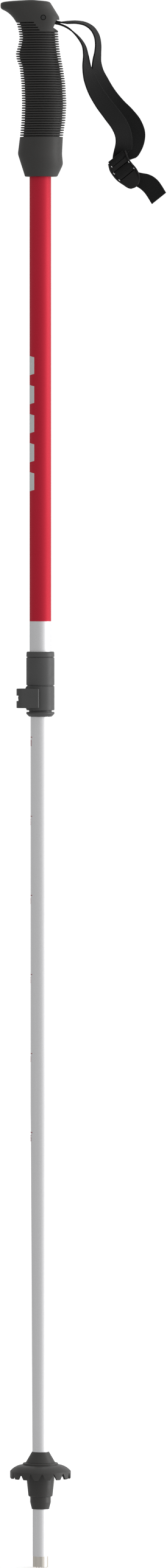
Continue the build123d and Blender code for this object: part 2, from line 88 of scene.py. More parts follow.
def rod_along_y(name, x, z, radius, half_width, count=48):
    outline = []
    for i in range(count):
        angle = -math.tau * i / count
        outline.append((x + radius * math.cos(angle), z + radius * math.sin(angle)))
    return prism(name, outline, half_width)


def baked(obj):
    """Replaces an object's mesh with what its modifiers make of it."""
    result = obj.evaluated_get(bpy.context.evaluated_depsgraph_get())
    mesh = bpy.data.meshes.new_from_object(result)
    obj.modifiers.clear()
    obj.data = mesh


def cut(obj, *cutters):
    for cutter in cutters:
        modifier = obj.modifiers.new("cut", "BOOLEAN")
        modifier.object = cutter
        modifier.operation = "DIFFERENCE"
        modifier.solver = "EXACT"
        baked(obj)
        bpy.data.objects.remove(cutter)
    obj.data.shade_smooth()
    obj.data.set_sharp_from_angle(angle=math.radians(40))


def smoothstep(low, high, value):
    share = min(max((value - low) / (high - low), 0.0), 1.0)
    return share * share * (3 - 2 * share)


def along(table, key):
    """Value at key on straight lines through (key, value) points."""
    previous = table[0]
    for point in table:
        if key <= point[0]:
            span = point[0] - previous[0]
            if span == 0:
                return point[1]
            share = (key - previous[0]) / span
            return previous[1] + share * (point[1] - previous[1])
        previous = point
    return previous[1]


def eased(table, key, reach):
    """The same with the corners rounded over a reach."""
    steps = (-1.0, -0.5, 0.0, 0.5, 1.0)
    return sum(along(table, key + step * reach) for step in steps) / len(steps)


def flowing(table, key):
    """Value at key on a smooth line through (key, value) points."""
    last = len(table) - 1
    slopes = []
    for i in range(len(table)):
        before = table[max(i - 1, 0)]
        after = table[min(i + 1, last)]
        slopes.append((after[1] - before[1]) / (after[0] - before[0]))
    for i in range(last):
        low, high = table[i], table[i + 1]
        if key <= high[0] or i == last - 1:
            gap = high[0] - low[0]
            t = min(max((key - low[0]) / gap, 0.0), 1.0)
            return (
                low[1] * (2 * t ** 3 - 3 * t ** 2 + 1)
                + slopes[i] * gap * (t ** 3 - 2 * t ** 2 + t)
                + high[1] * (3 * t ** 2 - 2 * t ** 3)
                + slopes[i + 1] * gap * (t ** 3 - t ** 2)
            )


# ---------------------------------------------------------------- materials
def shader(name, metallic, specular, coat=0.0, coat_roughness=0.2, sheen=0.0, anisotropy=0.0):
    """An empty principled material, its output and its nodes."""
    material = bpy.data.materials.new(name)
    material.use_nodes = True
    body = material.node_tree.nodes["Principled BSDF"]
    body.inputs["Metallic"].default_value = metallic
    body.inputs["Specular IOR Level"].default_value = specular
    body.inputs["Coat Weight"].default_value = coat
    body.inputs["Coat Roughness"].default_value = coat_roughness
    body.inputs["Sheen Weight"].default_value = sheen
    body.inputs["Anisotropic"].default_value = anisotropy
    return material, body


def node(material, kind, **values):
    made = material.node_tree.nodes.new(kind)
    for key, value in values.items():
        setattr(made, key, value)
    return made


def link(material, source, target):
    material.node_tree.links.new(source, target)


def place(material, stretch=(1, 1, 1)):
    """The row frame's coordinates in metres, scaled along each axis."""
    coords = node(material, "ShaderNodeTexCoord")
    mapping = node(material, "ShaderNodeMapping")
    mapping.inputs["Scale"].default_value = stretch
    link(material, coords.outputs["Object"], mapping.inputs["Vector"])
    return mapping.outputs["Vector"]


def noise(material, vector, size, detail=3.0, roughness=0.55):
    """Noise whose largest features are about size millimetres across."""
    texture = node(material, "ShaderNodeTexNoise")
    texture.inputs["Scale"].default_value = 1.0 / (size * MM)
    texture.inputs["Detail"].default_value = detail
    texture.inputs["Roughness"].default_value = roughness
    link(material, vector, texture.inputs["Vector"])
    return texture.outputs["Fac"]


def spread(material, value, low, high, start=0.3, end=0.7):
    """Maps a noise value from start..end to low..high."""
    mapped = node(material, "ShaderNodeMapRange")
    mapped.inputs["From Min"].default_value = start
    mapped.inputs["From Max"].default_value = end
    mapped.inputs["To Min"].default_value = low
    mapped.inputs["To Max"].default_value = high
    link(material, value, mapped.inputs["Value"])
    return mapped.outputs["Result"]


def blend_colours(material, share, first, second):
    mix = node(material, "ShaderNodeMix", data_type="RGBA")
    colours = [socket for socket in mix.inputs if socket.type == "RGBA"]
    for socket, colour in zip(colours, (first, second)):
        if isinstance(colour, bpy.types.NodeSocket):
            link(material, colour, socket)
        else:
            socket.default_value = (*colour, 1.0)
    link(material, share, mix.inputs["Factor"])
    return [socket for socket in mix.outputs if socket.type == "RGBA"][0]


def bump(material, height, depth, below=None):
    """A normal from a height of 0 to 1 that stands for a depth in millimetres."""
    made = node(material, "ShaderNodeBump")
    made.inputs["Distance"].default_value = depth * MM
    link(material, height, made.inputs["Height"])
    if below is not None:
        link(material, below, made.inputs["Normal"])
    return made.outputs["Normal"]


def scaled(colour, factor):
    return tuple(channel * factor for channel in colour)


def grained(name, colour, roughness, metallic=0.0, specular=0.5, grain=0.35, depth=0.012,
            contrast=0.10, stretch=(1, 1, 1), **extra):
    """A surface with fine grain, slow colour drift, faint rubbed spots and uneven gloss."""
    material, body = shader(name, metallic, specular, **extra)
    vector = place(material, stretch)
    drift = noise(material, vector, 18.0)
    tint = blend_colours(material, drift, scaled(colour, 1 - contrast), scaled(colour, 1 + contrast))
    rubbed = spread(material, noise(material, vector, 2.2, detail=6.0), 0.0, 0.35, 0.62, 0.78)
    tint = blend_colours(material, rubbed, tint, scaled(colour, 1.35))
    link(material, tint, body.inputs["Base Color"])
    gloss = noise(material, vector, 4.0, detail=4.0)
    link(material, spread(material, gloss, roughness - 0.05, roughness + 0.06), body.inputs["Roughness"])
    link(material, bump(material, noise(material, vector, grain), depth), body.inputs["Normal"])
    return material


def aluminium(name, colour, roughness, grain=0.016, streak=0.5, darkest=0.92):
    """Satin drawn aluminium: fine speckle with faint streaks along the tube."""
    material, body = shader(name, 1.0, 0.5)
    speckle = noise(material, place(material), 0.45, detail=4.0)
    streaks = noise(material, place(material, (1, 1, 0.012)), streak, detail=3.0)
    pale = blend_colours(material, speckle, scaled(colour, 0.90), scaled(colour, 1.07))
    tint = blend_colours(material, spread(material, streaks, 0.0, 0.5), pale, scaled(colour, darkest))
    link(material, tint, body.inputs["Base Color"])
    link(material, spread(material, speckle, roughness - 0.05, roughness + 0.07), body.inputs["Roughness"])
    fine = bump(material, speckle, grain)
    link(material, bump(material, streaks, 0.4 * grain, fine), body.inputs["Normal"])
    return material


PAINT_END_Z = 598.7


def painted_tube():
    """Red metallic lacquer over the same aluminium, which stays bare below the paint's edge."""
    material, body = shader("red_lacquer_tube", 0.0, 0.24)
    vector = place(material)
    flakes = noise(material, vector, 0.30, detail=2.0)
    drift = noise(material, place(material, (1, 1, 0.08)), 9.0)
    red = blend_colours(material, flakes, (0.54, 0.0130, 0.0370), (0.67, 0.0200, 0.0520))
    red = blend_colours(material, spread(material, drift, 0.0, 0.45), red, (0.59, 0.0125, 0.0345))
    silver = blend_colours(material, flakes, (0.78, 0.78, 0.79), (0.91, 0.91, 0.92))
    split = node(material, "ShaderNodeSeparateXYZ")
    link(material, vector, split.inputs["Vector"])
    edge = spread(material, split.outputs["Z"], 0.0, 1.0, (PAINT_END_Z - 0.05) * MM, (PAINT_END_Z + 0.05) * MM)
    link(material, blend_colours(material, edge, silver, red), body.inputs["Base Color"])
    link(material, spread(material, edge, 1.0, 0.28, 0.0, 1.0), body.inputs["Metallic"])
    link(material, spread(material, drift, 0.48, 0.58), body.inputs["Roughness"])
    fine = bump(material, flakes, 0.006)
    link(material, bump(material, edge, 0.05, fine), body.inputs["Normal"])
    return material


def ribbed_rubber():
    """Moulded rubber: fine matt grain, with gloss that drifts a little over the whole surface."""
    material, body = shader("grip_rubber", 0.0, 0.38)
    vector = place(material)
    drift = noise(material, vector, 22.0)
    grain = noise(material, vector, 0.30, detail=4.0)
    tint = blend_colours(material, drift, (0.0425, 0.0412, 0.0391), (0.0515, 0.0499, 0.0474))
    dust = spread(material, noise(material, vector, 3.0, detail=6.0), 0.0, 0.25, 0.62, 0.80)
    tint = blend_colours(material, dust, tint, (0.076, 0.074, 0.070))
    link(material, tint, body.inputs["Base Color"])
    link(material, spread(material, drift, 0.46, 0.56), body.inputs["Roughness"])
    link(material, bump(material, grain, 0.012), body.inputs["Normal"])
    return material


def woven(name, colour):
    """Flat webbing: rows of weft over columns of warp, from the mesh's own across and along."""
    material, body = shader(name, 0.0, 0.12, sheen=0.06)
    coords = node(material, "ShaderNodeUVMap", uv_map="weave")
    split = node(material, "ShaderNodeSeparateXYZ")
    link(material, coords.outputs["UV"], split.inputs["Vector"])

    def ripple(source, repeats, shift=None):
        scale = node(material, "ShaderNodeMath", operation="MULTIPLY_ADD")
        scale.inputs[1].default_value = repeats * math.tau
        link(material, source, scale.inputs[0])
        if shift is not None:
            link(material, shift, scale.inputs[2])
        sine = node(material, "ShaderNodeMath", operation="SINE")
        link(material, scale.outputs[0], sine.inputs[0])
        return spread(material, sine.outputs[0], 0.0, 1.0, -1.0, 1.0)

    warp = ripple(split.outputs["X"], 18)
    side = ripple(split.outputs["X"], 9)
    shift = node(material, "ShaderNodeMath", operation="MULTIPLY")
    shift.inputs[1].default_value = math.pi
    link(material, side, shift.inputs[0])
    weft = ripple(split.outputs["Y"], 19, shift.outputs[0])
    weave = node(material, "ShaderNodeMath", operation="MULTIPLY")
    link(material, warp, weave.inputs[0])
    link(material, weft, weave.inputs[1])
    fuzz = noise(material, place(material), 0.25, detail=5.0)
    tint = blend_colours(material, weave.outputs[0], scaled(colour, 0.86), scaled(colour, 1.14))
    tint = blend_colours(material, spread(material, fuzz, 0.0, 0.3), tint, scaled(colour, 1.5))
    link(material, tint, body.inputs["Base Color"])
    link(material, spread(material, fuzz, 0.74, 0.90), body.inputs["Roughness"])
    threads = bump(material, weave.outputs[0], 0.05)
    link(material, bump(material, fuzz, 0.02, threads), body.inputs["Normal"])
    return material


rubber = ribbed_rubber()
webbing = woven("black_webbing", (0.0125, 0.0125, 0.0125))
thread = grained("sewing_thread", (0.020, 0.020, 0.020), 0.7, specular=0.2, grain=0.15, depth=0.02)
buckle_black = grained("buckle_plastic", (0.0090, 0.0082, 0.0082), 0.42, specular=0.28, grain=0.5, depth=0.008)
lock_grey = grained("lock_plastic", (0.083, 0.083, 0.083), 0.43, specular=0.38, grain=0.3, depth=0.010)
lever_grey = grained("lever_plastic", (0.076, 0.076, 0.076), 0.38, specular=0.42, grain=0.3, depth=0.010)
basket_black = grained("basket_plastic", (0.0430, 0.0417, 0.0393), 0.42, specular=0.46, grain=0.4, depth=0.012)
hard_plastic = grained("hard_plastic", (0.05, 0.05, 0.05), 0.5)
dark_steel = grained("dark_steel", (0.030, 0.030, 0.030), 0.45, metallic=0.0, specular=0.5, grain=0.4)
bright_steel = aluminium("bright_steel", (0.62, 0.61, 0.60), 0.30)
tip_steel = aluminium("tip_steel", (0.83, 0.785, 0.715), 0.17, grain=0.003, streak=2.6, darkest=0.55)
bare_tube = aluminium("bare_tube", (0.92, 0.92, 0.93), 0.54)
red_tube = painted_tube()
red_print = grained("red_print", (0.36, 0.018, 0.040), 0.5, grain=0.4, depth=0.004)
silver_print = grained("silver_print", (0.72, 0.72, 0.72), 0.42, metallic=0.6, grain=0.3, depth=0.006)


def finish(name, material):
    """Gives a carried-over CAD node its material."""
    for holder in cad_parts[name].material_slots:
        holder.link = "OBJECT"
        holder.material = material


FINISHES = {
    "grip_core": hard_plastic,
    "shaft_top_plug": hard_plastic,
    "lower_guide_plug": hard_plastic,
    "strap_pin": dark_steel,
    "upper_shaft": red_tube,
    "lock_top_ring": lock_grey,
    "lock_sleeve": lock_grey,
    "lock_clamp_body": lock_grey,
    "lock_bush": lock_grey,
    "lock_wear_plate": bright_steel,
    "lock_barrel_nut": bright_steel,
    "lock_screw_washer": bright_steel,
    "lock_tension_screw": bright_steel,
    "lock_lever": lever_grey,
    "lower_shaft": bare_tube,
    "basket_ferrule": basket_black,
    "snow_basket": basket_black,
    "tip_crown": tip_steel,
}
for node_name, node_material in FINISHES.items():
    finish(node_name, node_material)


# ---------------------------------------------------------------- grip
# (height, x) of the grip's two outlines, over the tips of the ribs
HOOK_EDGE = [
    (879.2, -9.7), (881.0, -10.2), (886.9, -12.1), (893.5, -14.2), (903.8, -12.9), (914.0, -12.0),
    (925.0, -11.6), (938.0, -12.0), (948.5, -13.2), (953.0, -15.0), (957.0, -15.5), (961.0, -14.2),
    (966.0, -13.2), (970.0, -13.6), (973.0, -14.2), (976.0, -15.1), (978.0, -16.2), (980.2, -17.9),
    (982.2, -20.0), (983.6, -22.1), (984.5, -23.9), (985.3, -24.8), (986.4, -25.1), (987.9, -25.05),
    (988.6, -24.7), (989.1, -23.7), (989.5, -21.6), (989.95, -16.5), (990.3, -9.0),
]
STRAP_EDGE = [
    (879.2, 10.6), (881.0, 11.6), (886.9, 14.3), (893.5, 13.7), (903.8, 14.2), (914.0, 15.8),
    (925.0, 16.5), (938.0, 15.8), (948.5, 14.2), (953.0, 13.3), (957.0, 12.5), (961.0, 12.0),
    (966.0, 11.5), (970.9, 11.2), (978.2, 12.1), (980.0, 11.8), (988.9, 6.3), (989.5, 5.2),
    (989.8, 3.8), (990.1, -0.5), (990.3, -5.0),
]
GRIP_BOTTOM_Z = 879.2
GRIP_TOP_Z = 990.3
HEAD_HALF_WIDTH = 11.5
HEAD_EDGE_R = 3.2
FLATNESS = 0.9
RIB_PITCH = 1.55
RIB_DEPTH = 2.2
FIRST_GROOVE_Z = 975.9
GROOVES = 47
# x where each of the short grooves under the hook ends
SHORT_GROOVE_ENDS = (-4.3, -3.1, -1.8, -0.7)
# (offset from a groove's middle, share of the rib's depth)
GROOVE_PROFILE = [
    (-0.775, 0.0), (-0.52, 0.004), (-0.43, 0.035), (-0.385, 0.12), (-0.36, 0.45), (-0.335, 0.88),
    (-0.27, 0.98), (0.0, 1.0), (0.27, 0.98),
    (0.335, 0.88), (0.36, 0.45), (0.385, 0.12), (0.43, 0.035), (0.52, 0.004),
]
AROUND = 112
CORE_HOLE_R = 7.83
CORE_HOLE_TOP_Z = 954.05


def grip_ring(height, inset=0.0, ends_at=None):
    """One level slice of the grip: an ellipse below, an egg with its narrow end at the hook above."""
    hook_x = flowing(HOOK_EDGE, height) if height > 966 else eased(HOOK_EDGE, height, 1.0)
    strap_x = eased(STRAP_EDGE, height, 0.3 if height > 966 else 1.0)
    middle = 0.5 * (hook_x + strap_x)
    half = 0.5 * (strap_x - hook_x)
    head = smoothstep(964, 979, height)
    top = GRIP_TOP_Z - HEAD_EDGE_R
    fall = HEAD_EDGE_R - math.sqrt(max(HEAD_EDGE_R ** 2 - max(height - top, 0.0) ** 2, 0.0))
    half_y = (1 - head) * half * FLATNESS + head * (HEAD_HALF_WIDTH - fall)
    power = 2.0 / (2.0 + 0.5 * head)
    ring = []
    for i in range(AROUND):
        angle = math.tau * i / AROUND
        cosine = math.cos(angle)
        sine = math.sin(angle)
        across = math.copysign(abs(cosine) ** power, cosine)
        out = math.copysign(abs(sine) ** power, sine) * (1 + 0.11 * head * across)
        x = middle + half * across
        share = inset
        if ends_at is not None:
            share = inset * (1 - smoothstep(ends_at - 0.9, ends_at + 0.1, x))
        ring.append((x - share * across, (half_y - share) * out, height))
    return ring


def grip_rings():
    rings = []
    angles = [math.tau * i / AROUND for i in range(AROUND)]
    for height in (CORE_HOLE_TOP_Z, GRIP_BOTTOM_Z):
        rings.append([(CORE_HOLE_R * math.cos(a), CORE_HOLE_R * math.sin(a), height) for a in angles])
    for height, inset in ((0.0, 0.75), (0.06, 0.42), (0.25, 0.14), (0.55, 0.0)):
        rings.append(grip_ring(GRIP_BOTTOM_Z + height, inset))
    last_groove_z = FIRST_GROOVE_Z - (GROOVES - 1) * RIB_PITCH
    rows = 26
    start = GRIP_BOTTOM_Z + 1.2
    stop = last_groove_z - RIB_PITCH
    for row in range(rows + 1):
        rings.append(grip_ring(start + (stop - start) * row / rows))
    for index in reversed(range(GROOVES)):
        ends_at = SHORT_GROOVE_ENDS[index] if index < len(SHORT_GROOVE_ENDS) else None
        for offset, share in GROOVE_PROFILE:
            height = FIRST_GROOVE_Z - index * RIB_PITCH + offset
            rings.append(grip_ring(height, share * RIB_DEPTH, ends_at))
    height = FIRST_GROOVE_Z + 0.5 * RIB_PITCH
    while height < GRIP_TOP_Z - 0.02:
        rings.append(grip_ring(height))
        height += 0.4 if height < 983 else 0.2
    rings.append(grip_ring(GRIP_TOP_Z))
    return rings


PIN_X = 1.9
PIN_Z = 979.1
NOTCH = [(13.5, 978.0), (10.4, 978.3), (8.0, 973.0), (11.2, 970.9), (13.5, 970.9)]
CHANNEL = [(PIN_X, 982.1), (12.5, 978.3), (12.5, 972.9), (8.2, 973.0), (PIN_X, 976.1)]
CHANNEL_HALF_WIDTH = 6.3
PIN_RECESS_R = 1.75
PIN_RECESS = 1.1


def pin_ring(name, side):
    """A shallow round recess that leaves a dark ring round the pin's end."""
    outline = []
    for i in range(48):
        angle = -math.tau * i / 48
        outline.append((PIN_X + PIN_RECESS_R * math.cos(angle), PIN_Z + PIN_RECESS_R * math.sin(angle)))
    inner, outer = sorted((side * (HEAD_HALF_WIDTH - PIN_RECESS), side * 15))
    rings = [[(x, y, z) for x, z in outline] for y in (inner, outer)]
    return skin(name, rings)


def build_grip():
    grip = skin("grip_rubber_body", grip_rings())
    cut(
        grip,
        prism("notch_cutter", NOTCH[::-1], 15),
        prism("channel_cutter", CHANNEL[::-1], CHANNEL_HALF_WIDTH),
        rod_along_y("loop_cutter", PIN_X, PIN_Z, 3.1, CHANNEL_HALF_WIDTH),
        pin_ring("front_ring_cutter", -1),
        pin_ring("back_ring_cutter", 1),
    )
    grip.data.materials.append(rubber)
    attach(grip, "handle")
    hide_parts("grip_body")


build_grip()


# ---------------------------------------------------------------- webbing strap
WEB_WIDTH = 11.6
WEB_THICK = 1.0
BUCKLE_SLOPE = 38.8
BUCKLE_ORIGIN = Vector((46.7, 0.0, 890.2))
BUCKLE_ACROSS = Vector((math.cos(math.radians(BUCKLE_SLOPE)), 0, math.sin(math.radians(BUCKLE_SLOPE))))
BUCKLE_DOWN = Vector((math.sin(math.radians(BUCKLE_SLOPE)), 0, -math.cos(math.radians(BUCKLE_SLOPE))))
BUCKLE_BEHIND = Vector((0, 1, 0))

# (x, y, z, twist, heading) of the strand that leaves the notch on top and hangs behind
REAR_STRAND = [
    (14.2, 0.0, 976.4, 4), (17.0, 0.0, 976.4, 8), (23.0, 0.2, 976.5, 9), (28.4, 0.6, 975.4, 11),
    (32.6, 1.2, 972.7, 14), (35.3, 2.0, 968.5, 16), (36.4, 3.2, 963.1, 17), (36.2, 4.4, 957.7, 19),
    (35.6, 5.6, 952.3, 26), (36.0, 6.8, 946.5, 38), (38.4, 7.8, 939.6, 52), (42.6, 8.6, 931.4, 65),
    (48.0, 9.2, 924.2, 76), (53.8, 9.2, 918.2, 82), (58.2, 9.0, 912.6, 84), (60.4, 8.6, 906.6, 85),
    (59.6, 7.4, 900.8, 86), (57.4, 6.0, 896.4, 88), (54.6, 4.9, 892.4, 90, -12), (51.9, 4.1, 889.2, 90, 12),
    (50.4, 3.0, 887.2, 90, 30), (50.66, 1.9, 885.5, 90, BUCKLE_SLOPE),
]
# the strand that leaves the notch below it and hangs in front
FRONT_STRAND = [
    (14.2, 0.0, 974.5, 0), (17.4, 0.0, 972.9, 0), (21.0, -0.2, 970.0, 2), (24.6, -0.6, 966.2, 6),
    (27.4, -1.2, 961.6, 9), (28.6, -2.0, 956.0, 14), (29.2, -3.2, 948.6, 26), (31.1, -4.4, 941.2, 42),
    (34.3, -5.4, 933.8, 53), (39.2, -6.2, 925.9, 62), (45.2, -6.2, 918.0, 68), (49.9, -5.0, 911.4, 68),
    (52.2, -2.8, 905.8, 66), (52.7, 0.0, 900.6, 66), (52.2, 2.2, 896.8, 74, 0), (51.0, 2.65, 893.6, 90, 20),
    (50.0, 2.65, 890.0, 90, BUCKLE_SLOPE),
]
# (across, down, behind) round the buckle's top bar, from the sewn end to the front strand
EYE_ROUTE = [
    (1.5, 1.7, 1.70), (1.5, 0.5, 1.70), (1.5, -0.42, 1.20), (1.5, -0.66, 0.0), (1.5, -0.42, -1.25),
    (1.5, 0.5, -1.75), (1.5, 1.6, -1.75), (1.5, 2.42, -1.1), (1.5, 2.55, 0.0), (1.6, 2.62, 1.2),
    (2.0, 2.75, 2.2),
]
# from the rear strand through the two lower slots, over the middle bar and down the tail
THREADED_ROUTE = [
    (0.0, 6.85, 1.2), (0.0, 7.0, 0.0), (0.0, 7.15, -1.2), (0.0, 8.0, -1.85), (0.0, 9.6, -1.9),
    (0.0, 11.2, -1.85), (0.0, 12.05, -1.2), (0.0, 12.2, 0.0), (0.1, 12.5, 1.3), (0.3, 14.6, 2.1),
    (2.2, 17.4, 2.6), (4.8, 20.4, 3.0), (6.6, 24.0, 3.0), (7.3, 28.2, 2.6), (7.0, 32.5, 2.0),
    (6.4, 36.8, 1.2),
]
LOOP_R = 2.1
ANCHOR_END_X = 12.2
REAR_ANCHOR_Z = 976.5
FRONT_ANCHOR_Z = 975.2


def on_buckle(across, down, behind):
    """A point in the buckle's own frame, as a point in the row frame, in millimetres."""
    return BUCKLE_ORIGIN + BUCKLE_ACROSS * across + BUCKLE_DOWN * down + BUCKLE_BEHIND * behind


def strand_stations(strand):
    """(point, width direction) at each station. Twist 0 is along Y, 90 in the XZ plane."""
    stations = []
    last = len(strand) - 1
    for index, (x, y, z, twist, *heading) in enumerate(strand):
        before = Vector(strand[max(index - 1, 0)][:3])
        after = Vector(strand[min(index + 1, last)][:3])
        run = (after - before).normalized()
        level = Vector((-run.z, 0, run.x)).normalized()
        if heading:
            slope = math.radians(heading[0])
            level = Vector((math.cos(slope), 0, math.sin(slope)))
        angle = math.radians(twist)
        stations.append((Vector((x, y, z)), Vector((0, 1, 0)) * math.cos(angle) + level * math.sin(angle)))
    return stations


def strap_stations():
    """The whole webbing, from its sewn end in the buckle round the pin to the tail's end."""
    side = Vector((0, 1, 0))
    stations = [(on_buckle(*point), BUCKLE_ACROSS) for point in EYE_ROUTE]
    stations += strand_stations(FRONT_STRAND)[::-1]
    stations.append((Vector((ANCHOR_END_X, 0, FRONT_ANCHOR_Z)), side))
    stations.append((Vector((9.0, 0, 975.9)), side))
    stations.append((Vector((5.2, 0, 976.6)), side))
    turns = 12
    for step in range(turns + 1):
        angle = -0.5 * math.pi - math.pi * step / turns
        point = Vector((PIN_X + LOOP_R * math.cos(angle), 0, PIN_Z + LOOP_R * math.sin(angle)))
        stations.append((point, side))
    stations.append((Vector((5.2, 0, 979.8)), side))
    stations.append((Vector((8.2, 0, 977.9)), side))
    stations.append((Vector((ANCHOR_END_X, 0, REAR_ANCHOR_Z)), side))
    stations += strand_stations(REAR_STRAND)
    stations += [(on_buckle(*point), BUCKLE_ACROSS) for point in THREADED_ROUTE]
    return stations


def smooth_route(stations, step):
    """Evenly dense (point, width direction, run) on one smooth curve through the stations."""
    points = [point for point, _ in stations]
    sides = [stations[0][1]]
    for _, side in stations[1:]:
        sides.append(side if side.dot(sides[-1]) > 0 else -side)
    gaps = [(b - a).length for a, b in zip(points, points[1:])]
    slopes = []
    for i in range(len(points)):
        if i == 0:
            slopes.append((points[1] - points[0]) / gaps[0])
        elif i == len(points) - 1:
            slopes.append((points[-1] - points[-2]) / gaps[-1])
        else:
            before = (points[i] - points[i - 1]) / gaps[i - 1]
            after = (points[i + 1] - points[i]) / gaps[i]
            slopes.append((before * gaps[i] + after * gaps[i - 1]) / (gaps[i] + gaps[i - 1]))
    route = []
    for i, gap in enumerate(gaps):
        pieces = max(2, round(gap / step))
        for piece in range(pieces):
            t = piece / pieces
            point = (
                points[i] * (2 * t ** 3 - 3 * t ** 2 + 1)
                + slopes[i] * gap * (t ** 3 - 2 * t ** 2 + t)
                + points[i + 1] * (3 * t ** 2 - 2 * t ** 3)
                + slopes[i + 1] * gap * (t ** 3 - t ** 2)
            )
            side = sides[i].lerp(sides[i + 1], t).normalized()
            route.append((point, side))
    route.append((points[-1], sides[-1]))
    full = []
    for i, (point, side) in enumerate(route):
        run = route[min(i + 1, len(route) - 1)][0] - route[max(i - 1, 0)][0]
        full.append((point, side, run.normalized()))
    return full


# (across, thickness) shares of half the width and half the thickness: flat faces, thicker selvedges
WEB_PROFILE = [
    (-1.0, 0.0), (-0.985, 0.62), (-0.95, 0.95), (-0.90, 1.0), (-0.84, 0.93), (-0.5, 0.90), (0.0, 0.90),
    (0.5, 0.90), (0.84, 0.93), (0.90, 1.0), (0.95, 0.95), (0.985, 0.62), (1.0, 0.0),
]


def web_surface(route):
    """Rings of the webbing's skin, and each point's (across, along) for its weave."""
    outline = WEB_PROFILE + [(across, -thick) for across, thick in WEB_PROFILE[-2:0:-1]]
    rings = []
    weave = []
    travelled = 0.0
    last_point = route[0][0]
    for point, side, run in route:
        travelled += (point - last_point).length
        last_point = point
        through = run.cross(side).normalized()
        ring = []
        for across, thick in outline:
            ring.append(point + side * across * 0.5 * WEB_WIDTH + through * thick * 0.5 * WEB_THICK)
            weave.append((0.5 + 0.5 * across, travelled / WEB_WIDTH))
        rings.append(ring)
    return rings, weave, travelled


def build_strap(route):
    rings, weave, length = web_surface(route)
    strap = skin("wrist_strap", rings, sharp_angle=60)
    layer = strap.data.uv_layers.new(name="weave")
    for loop in strap.data.loops:
        layer.data[loop.index].uv = weave[loop.vertex_index]
    strap.data.materials.append(webbing)
    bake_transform(strap)
    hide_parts("strap_anchor_loop", "strap_front_strand", "strap_rear_strand", "strap_tail")


def capsule_points(start, end, radius, sides=8, rings=5):
    """Rings of a stitch: a thread with rounded ends from start to end."""
    axis = (end - start).normalized()
    turn = Vector((0, 0, 1)).rotation_difference(axis)
    levels = []
    for step in range(rings):
        angle = 0.5 * math.pi * step / (rings - 1)
        levels.append((start - axis * radius * math.cos(angle), radius * math.sin(angle)))
    for step in range(rings):
        angle = 0.5 * math.pi * (1 - step / (rings - 1))
        levels.append((end + axis * radius * math.cos(angle), radius * math.sin(angle)))
    result = []
    for centre, size in levels:
        size = max(size, 0.02 * radius)
        result.append([
            centre + turn @ Vector((size * math.cos(math.tau * k / sides), size * math.sin(math.tau * k / sides), 0))
            for k in range(sides)
        ])
    return result


def join_skins(name, stacks):
    """One mesh of several closed skins."""
    points = []
    faces = []
    for rings in stacks:
        count = len(rings[0])
        base = len(points)
        for ring in rings:
            points += ring
        for row in range(len(rings) - 1):
            low = base + row * count
            for i in range(count):
                j = (i + 1) % count
                faces.append((low + i, low + j, low + count + j, low + count + i))
        faces.append(tuple(base + k for k in reversed(range(count))))
        faces.append(tuple(len(points) - count + k for k in range(count)))
    return mesh_object(name, points, faces)


def build_stitching(route):
    """Three rows of stitches across the front strand above the buckle's top bar."""
    stacks = []
    travelled = 0.0
    rows = [12.6, 14.6, 16.6]
    for (point, side, run), (after, _, _) in zip(route, route[1:]):
        travelled += (after - point).length
        if rows and travelled >= rows[0]:
            rows.pop(0)
            through = run.cross(side).normalized()
            for face in (-1, 1):
                middle = point + through * face * 0.5 * WEB_THICK
                for place_across in (-4.4, -2.2, 0.0, 2.2, 4.4):
                    start = middle + side * (place_across - 0.8)
                    end = middle + side * (place_across + 0.8)
                    stacks.append(capsule_points(start, end, 0.17))
    stitching = join_skins("strap_stitching", stacks)
    stitching.data.materials.append(thread)
    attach(stitching, "strap")


strap_route = smooth_route(strap_stations(), 0.8)
build_stitching(strap_route)
build_strap(strap_route)


# ---------------------------------------------------------------- buckle
BUCKLE_HALF_THICK = 1.1
BUCKLE_LEFT = [(-5.1, 0.0), (-7.0, 4.0), (-7.4, 8.0), (-7.3, 11.0), (-6.1, 15.5), (-3.9, 20.6)]
BUCKLE_FOOT = (-0.9, 22.1)
BUCKLE_RIGHT = [(3.2, 20.8), (6.2, 17.1), (7.2, 13.0), (7.1, 9.0), (7.3, 5.3), (9.0, 0.0)]
SLOT_HALF_WIDTH = 6.0
SLOTS = [(1.5, 1.9, 3.2), (0.0, 6.2, 7.8), (0.0, 11.4, 13.0)]
BUCKLE_EDGE = 0.3
# the walls sink into the plate between these distances down it
RAIL_FADE_START = 14.0
RAIL_FADE_END = 21.0
RAIL_SUNK = 0.95


def curve_through(points, per_piece=8):
    """Points on a smooth line through the given ones."""
    stations = [(Vector((x, y, 0)), Vector((0, 0, 1))) for x, y in points]
    shortest = min((b - a).length for (a, _), (b, _) in zip(stations, stations[1:]))
    return [(point.x, point.y) for point, _, _ in smooth_route(stations, shortest / per_piece)]


def add_loop(curve, points):
    spline = curve.splines.new("POLY")
    spline.points.add(len(points) - 1)
    for target, (x, y) in zip(spline.points, points):
        target.co = (x * MM, y * MM, 0, 1)
    spline.use_cyclic_u = True


def rounded_slot(middle, first, last, radius=0.5, steps=4):
    points = []
    corners = [
        (middle + SLOT_HALF_WIDTH - radius, last - radius, 0), (middle - SLOT_HALF_WIDTH + radius, last - radius, 90),
        (middle - SLOT_HALF_WIDTH + radius, first + radius, 180), (middle + SLOT_HALF_WIDTH - radius, first + radius, 270),
    ]
    for x, y, start in corners:
        for step in range(steps + 1):
            angle = math.radians(start + 90 * step / steps)
            points.append((x + radius * math.cos(angle), y + radius * math.sin(angle)))
    return points


